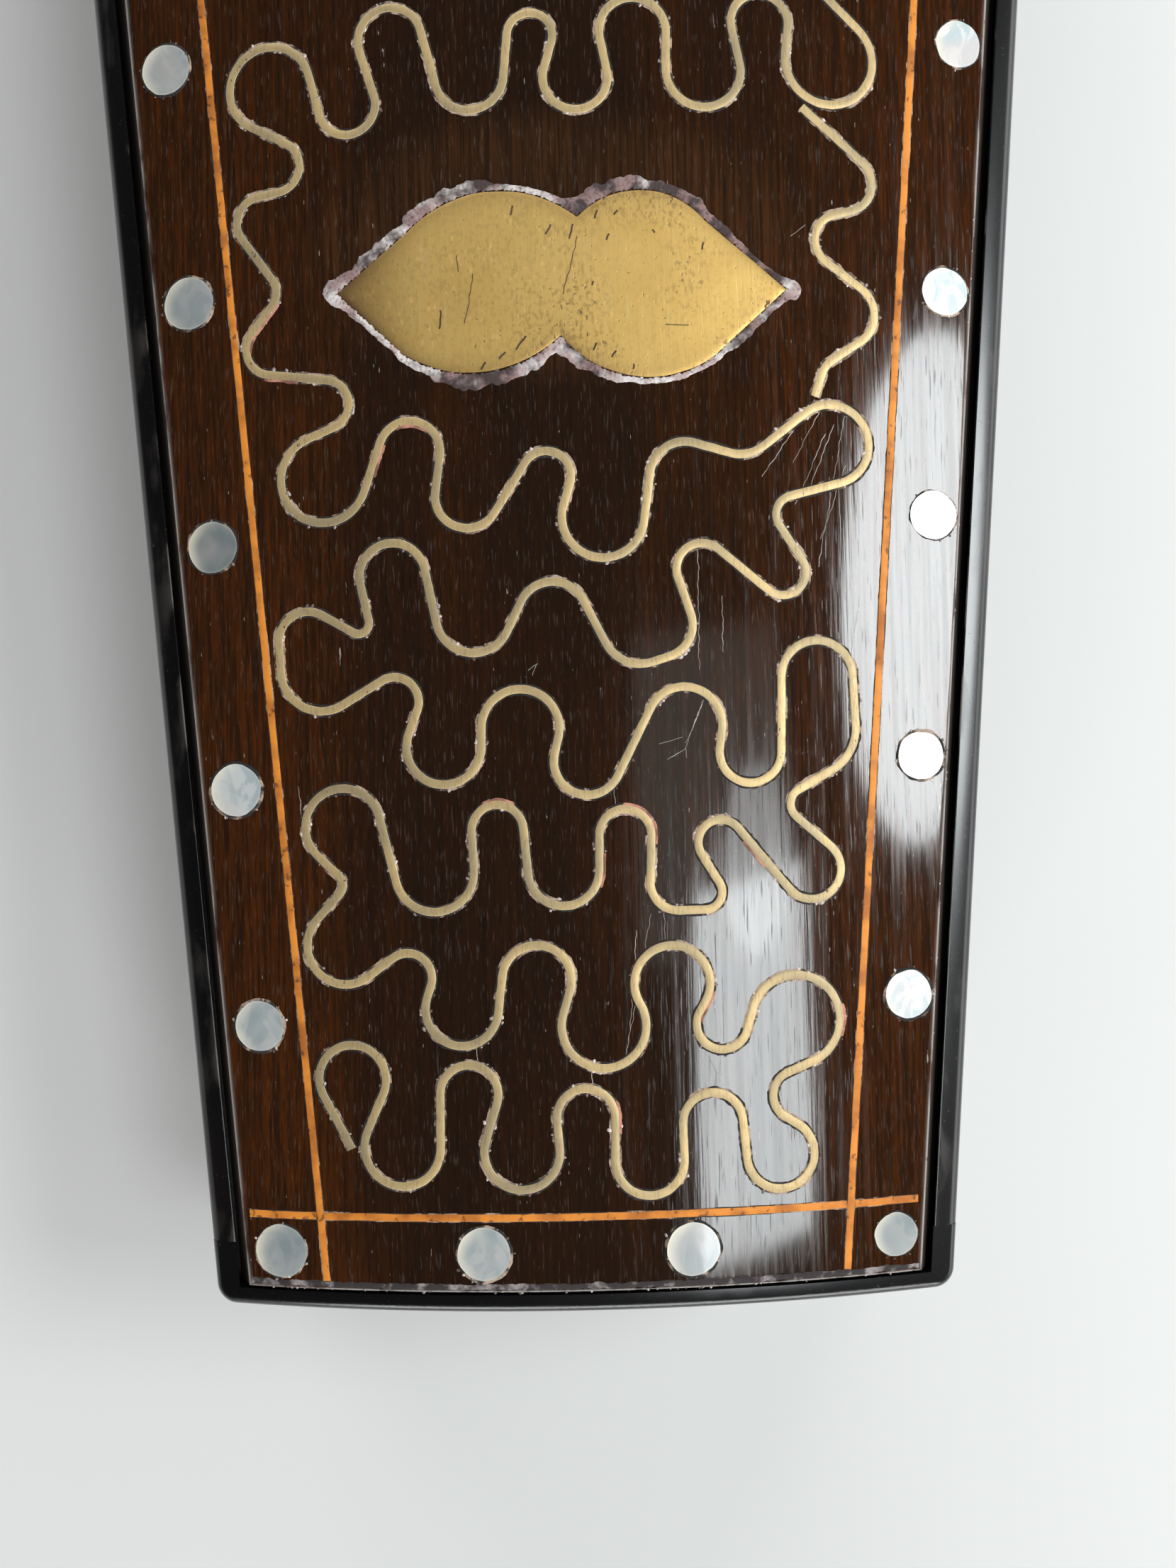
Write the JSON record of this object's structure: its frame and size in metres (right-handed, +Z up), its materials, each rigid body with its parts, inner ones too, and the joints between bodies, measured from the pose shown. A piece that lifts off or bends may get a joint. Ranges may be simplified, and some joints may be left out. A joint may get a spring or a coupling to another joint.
{
  "type": "inlaid wooden box",
  "caption": "Long tapered wooden box with a bowed sliding lid inlaid with brass strip, a brass plaque, pearl dots and stringing.",
  "frame": {"origin": "under the middle of the box, on the surface it stands on", "axes": "+Z up, +Y along the box towards its wide end, +X across it to the right seen from above with the narrow end near"},
  "size_m": [0.1, 0.19, 0.043],
  "materials": {
    "black_lacquer": "black lacquer on wood, worn at the edges",
    "raw_wood": "bare wood",
    "rosewood": "polished dark rosewood with fine open pores",
    "orange_stringing": "polished light wood stringing",
    "pearl": "polished mother-of-pearl",
    "brass_wire": "filed flush, dull",
    "brass_plate": "brushed and pitted",
    "mastic": "rough pale filler"
  },
  "bodies": {
    "case": {"left_wall": "black_lacquer", "right_wall": "black_lacquer", "narrow_end_wall": "black_lacquer", "wide_end_wall": "black_lacquer", "base_board": "raw_wood", "corner_dowels": "raw_wood", "base_pins": "brass_wire"},
    "lid": {"lid_board": "rosewood", "lid_end_batten": "black_lacquer", "brass_plaque": "brass_plate", "plaque_mastic": "mastic", "left_string": "orange_stringing", "right_string": "orange_stringing", "narrow_string": "orange_stringing", "wide_string": "orange_stringing", "left_dots": "pearl", "right_dots": "pearl", "narrow_dots": "pearl", "wide_dots": "pearl", "wire_row_one": "brass_wire", "wire_row_two": "brass_wire", "wire_row_three": "brass_wire", "wire_row_four": "brass_wire", "wire_row_five": "brass_wire", "wire_row_six": "brass_wire", "wire_row_seven": "brass_wire", "wire_row_eight": "brass_wire", "wire_row_nine": "brass_wire", "wire_row_ten": "brass_wire", "wire_row_eleven": "brass_wire", "wire_row_twelve": "brass_wire", "wire_left_link": "brass_wire", "wire_right_link": "brass_wire"}
  },
  "joints": [
    {"name": "lid_slide", "type": "slide", "parent": "case", "child": "lid", "axis": [0, 1, 0], "range_m": [0, 0.195]}
  ]
}
